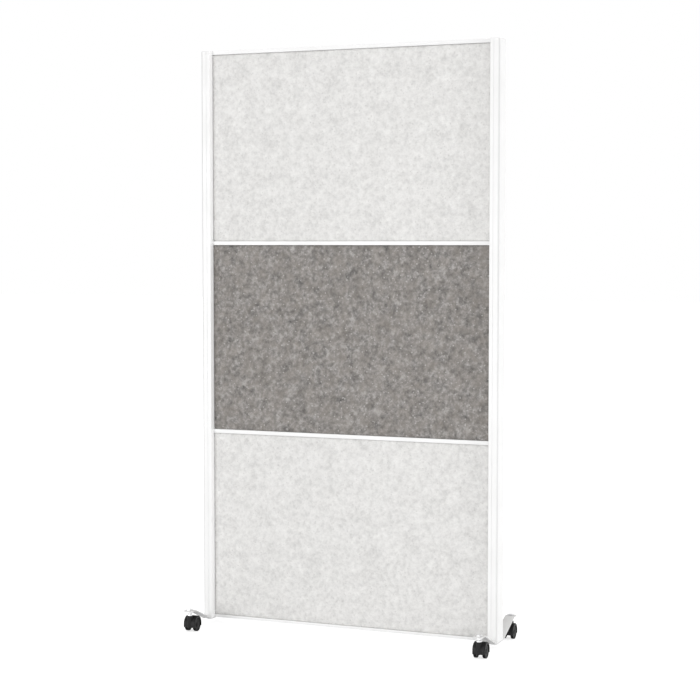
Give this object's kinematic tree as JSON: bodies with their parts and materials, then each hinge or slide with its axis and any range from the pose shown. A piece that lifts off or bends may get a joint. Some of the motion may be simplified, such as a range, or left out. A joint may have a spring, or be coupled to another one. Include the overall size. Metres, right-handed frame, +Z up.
{
  "type": "acoustic divider screen",
  "caption": "Free-standing acoustic divider screen with felt panels in a slim coated frame, bent flat-bar feet and twin-wheel swivel casters.",
  "frame": {"origin": "on the floor, midway between the posts and between front and back", "axes": "+X to the right along the width, -Y to the front, +Z up"},
  "size_m": [0.981, 0.338, 1.8],
  "materials": {
    "frame_coat": "white powder coat on aluminium, fine satin",
    "foot_coat": "white powder coat on steel, satin",
    "cap_plastic": "white moulded plastic, matt",
    "light_felt": "light grey mottled needled felt",
    "dark_felt": "dark grey mottled needled felt",
    "core_board": "stiff fibre board, matt",
    "gasket_rubber": "soft, matt",
    "zinc_steel": "bright zinc plating",
    "caster_plastic": "black nylon, fine satin grain",
    "wheel_plastic": "black nylon, satin",
    "tyre_rubber": "dark soft tread, matt"
  },
  "bodies": {
    "frame": {"left_post": "frame_coat", "left_post_cap": "cap_plastic", "left_panel_gasket": "gasket_rubber", "left_rail_screws": "zinc_steel", "left_hole_plugs": "cap_plastic", "left_foot": "foot_coat", "left_foot_screws": "zinc_steel", "right_post": "frame_coat", "right_post_cap": "cap_plastic", "right_panel_gasket": "gasket_rubber", "right_rail_screws": "zinc_steel", "right_hole_plugs": "cap_plastic", "right_foot": "foot_coat", "right_foot_screws": "zinc_steel", "bottom_rail": "frame_coat", "lower_rail": "frame_coat", "upper_rail": "frame_coat", "top_rail": "frame_coat", "top_rail_cover": "frame_coat", "bottom_panel_core": "core_board", "bottom_front_felt": "light_felt", "bottom_back_felt": "light_felt", "middle_panel_core": "core_board", "middle_front_felt": "dark_felt", "middle_back_felt": "dark_felt", "top_panel_core": "core_board", "top_front_felt": "light_felt", "top_back_felt": "light_felt", "lower_lock_nuts": "zinc_steel", "upper_lock_nuts": "zinc_steel", "stem_clips": "zinc_steel", "front_left_stem": "zinc_steel", "front_right_stem": "zinc_steel", "back_left_stem": "zinc_steel", "back_right_stem": "zinc_steel"},
    "front_left_caster": {"front_left_housing": "caster_plastic", "front_left_axle": "zinc_steel"},
    "front_left_left_wheel_set": {"front_left_left_wheel": "wheel_plastic", "front_left_left_tyre": "tyre_rubber"},
    "front_left_right_wheel_set": {"front_left_right_wheel": "wheel_plastic", "front_left_right_tyre": "tyre_rubber"},
    "front_right_caster": {"front_right_housing": "caster_plastic", "front_right_axle": "zinc_steel"},
    "front_right_left_wheel_set": {"front_right_left_wheel": "wheel_plastic", "front_right_left_tyre": "tyre_rubber"},
    "front_right_right_wheel_set": {"front_right_right_wheel": "wheel_plastic", "front_right_right_tyre": "tyre_rubber"},
    "back_left_caster": {"back_left_housing": "caster_plastic", "back_left_axle": "zinc_steel"},
    "back_left_left_wheel_set": {"back_left_left_wheel": "wheel_plastic", "back_left_left_tyre": "tyre_rubber"},
    "back_left_right_wheel_set": {"back_left_right_wheel": "wheel_plastic", "back_left_right_tyre": "tyre_rubber"},
    "back_right_caster": {"back_right_housing": "caster_plastic", "back_right_axle": "zinc_steel"},
    "back_right_left_wheel_set": {"back_right_left_wheel": "wheel_plastic", "back_right_left_tyre": "tyre_rubber"},
    "back_right_right_wheel_set": {"back_right_right_wheel": "wheel_plastic", "back_right_right_tyre": "tyre_rubber"}
  },
  "joints": [
    {"name": "front_left_swivel", "type": "hinge", "parent": "frame", "child": "front_left_caster", "pos_m": [-0.471, -0.155, 0.02], "axis": [0, 0, 1], "continuous": true},
    {"name": "front_left_left_spin", "type": "hinge", "parent": "front_left_caster", "child": "front_left_left_wheel_set", "pos_m": [-0.485, -0.137, 0.02], "axis": [1, 0, 0], "continuous": true},
    {"name": "front_left_right_spin", "type": "hinge", "parent": "front_left_caster", "child": "front_left_right_wheel_set", "pos_m": [-0.457, -0.137, 0.02], "axis": [1, 0, 0], "continuous": true},
    {"name": "front_right_swivel", "type": "hinge", "parent": "frame", "child": "front_right_caster", "pos_m": [0.471, -0.155, 0.02], "axis": [0, 0, 1], "continuous": true},
    {"name": "front_right_left_spin", "type": "hinge", "parent": "front_right_caster", "child": "front_right_left_wheel_set", "pos_m": [0.457, -0.137, 0.02], "axis": [1, 0, 0], "continuous": true},
    {"name": "front_right_right_spin", "type": "hinge", "parent": "front_right_caster", "child": "front_right_right_wheel_set", "pos_m": [0.485, -0.137, 0.02], "axis": [1, 0, 0], "continuous": true},
    {"name": "back_left_swivel", "type": "hinge", "parent": "frame", "child": "back_left_caster", "pos_m": [-0.471, 0.155, 0.02], "axis": [0, 0, 1], "continuous": true},
    {"name": "back_left_left_spin", "type": "hinge", "parent": "back_left_caster", "child": "back_left_left_wheel_set", "pos_m": [-0.485, 0.137, 0.02], "axis": [1, 0, 0], "continuous": true},
    {"name": "back_left_right_spin", "type": "hinge", "parent": "back_left_caster", "child": "back_left_right_wheel_set", "pos_m": [-0.457, 0.137, 0.02], "axis": [1, 0, 0], "continuous": true},
    {"name": "back_right_swivel", "type": "hinge", "parent": "frame", "child": "back_right_caster", "pos_m": [0.471, 0.155, 0.02], "axis": [0, 0, 1], "continuous": true},
    {"name": "back_right_left_spin", "type": "hinge", "parent": "back_right_caster", "child": "back_right_left_wheel_set", "pos_m": [0.457, 0.137, 0.02], "axis": [1, 0, 0], "continuous": true},
    {"name": "back_right_right_spin", "type": "hinge", "parent": "back_right_caster", "child": "back_right_right_wheel_set", "pos_m": [0.485, 0.137, 0.02], "axis": [1, 0, 0], "continuous": true}
  ]
}
